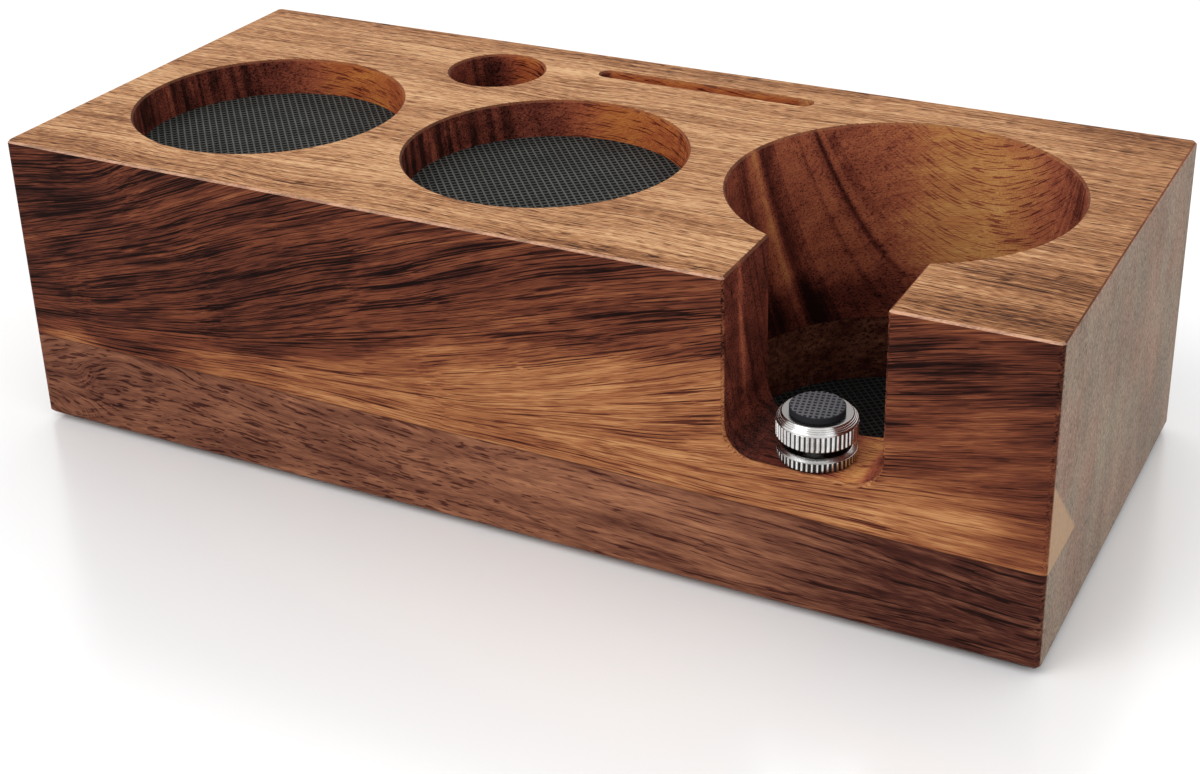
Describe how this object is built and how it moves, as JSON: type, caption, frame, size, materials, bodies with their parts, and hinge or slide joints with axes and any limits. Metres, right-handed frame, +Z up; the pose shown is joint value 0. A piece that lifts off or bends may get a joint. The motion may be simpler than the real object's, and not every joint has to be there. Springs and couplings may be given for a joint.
{
  "type": "espresso tamping station",
  "caption": "Hardwood bench block that holds a portafilter in a deep bore with a screw support in its front notch, beside matted recesses, a round hole and a slot.",
  "frame": {"origin": "on the table under the middle of the block, at the feet's underside", "axes": "+X along the block's length to the portafilter end, +Y to the back, away from the notch, +Z up"},
  "size_m": [0.275, 0.12, 0.0808],
  "materials": {
    "upper_wood": "oiled satin",
    "base_wood": "oiled satin",
    "mat_rubber": "matt woven texture",
    "pad_rubber": "matt woven texture",
    "foot_rubber": "matt",
    "polished_steel": "turned and polished, straight knurl",
    "insert_brass": "machined",
    "washer_nylon": "smooth matt"
  },
  "bodies": {
    "block": {"upper_block": "upper_wood", "base_board": "base_wood", "left_recess_mat": "mat_rubber", "middle_recess_mat": "mat_rubber", "portafilter_bore_mat": "mat_rubber", "threaded_insert": "insert_brass", "foot_front_left": "foot_rubber", "foot_front_right": "foot_rubber", "foot_back_left": "foot_rubber", "foot_back_right": "foot_rubber"},
    "support_lift": {"support_pad": "pad_rubber"},
    "support": {"support_head": "polished_steel", "support_stud": "polished_steel"},
    "lock_ring_lift": {"lock_ring_washer": "washer_nylon"},
    "lock_ring": {"lock_ring": "polished_steel"}
  },
  "joints": [
    {"name": "support_rise", "type": "slide", "parent": "block", "child": "support_lift", "axis": [0, 0, 1], "range_m": [0, 0.01]},
    {"name": "support_turn", "type": "hinge", "parent": "support_lift", "child": "support", "pos_m": [0.0818, -0.0504, 0.037], "axis": [0, 0, 1], "range_deg": [0, 2880]},
    {"name": "lock_ring_rise", "type": "slide", "parent": "block", "child": "lock_ring_lift", "axis": [0, 0, 1], "range_m": [0, 0.00125]},
    {"name": "lock_ring_turn", "type": "hinge", "parent": "lock_ring_lift", "child": "lock_ring", "pos_m": [0.0818, -0.0504, 0.037], "axis": [0, 0, 1], "range_deg": [0, 360]}
  ],
  "couplings": [
    {"joint": "support_rise", "follows": "support_turn", "m_per_rad": 0.00019894},
    {"joint": "lock_ring_rise", "follows": "lock_ring_turn", "m_per_rad": 0.00019894}
  ]
}
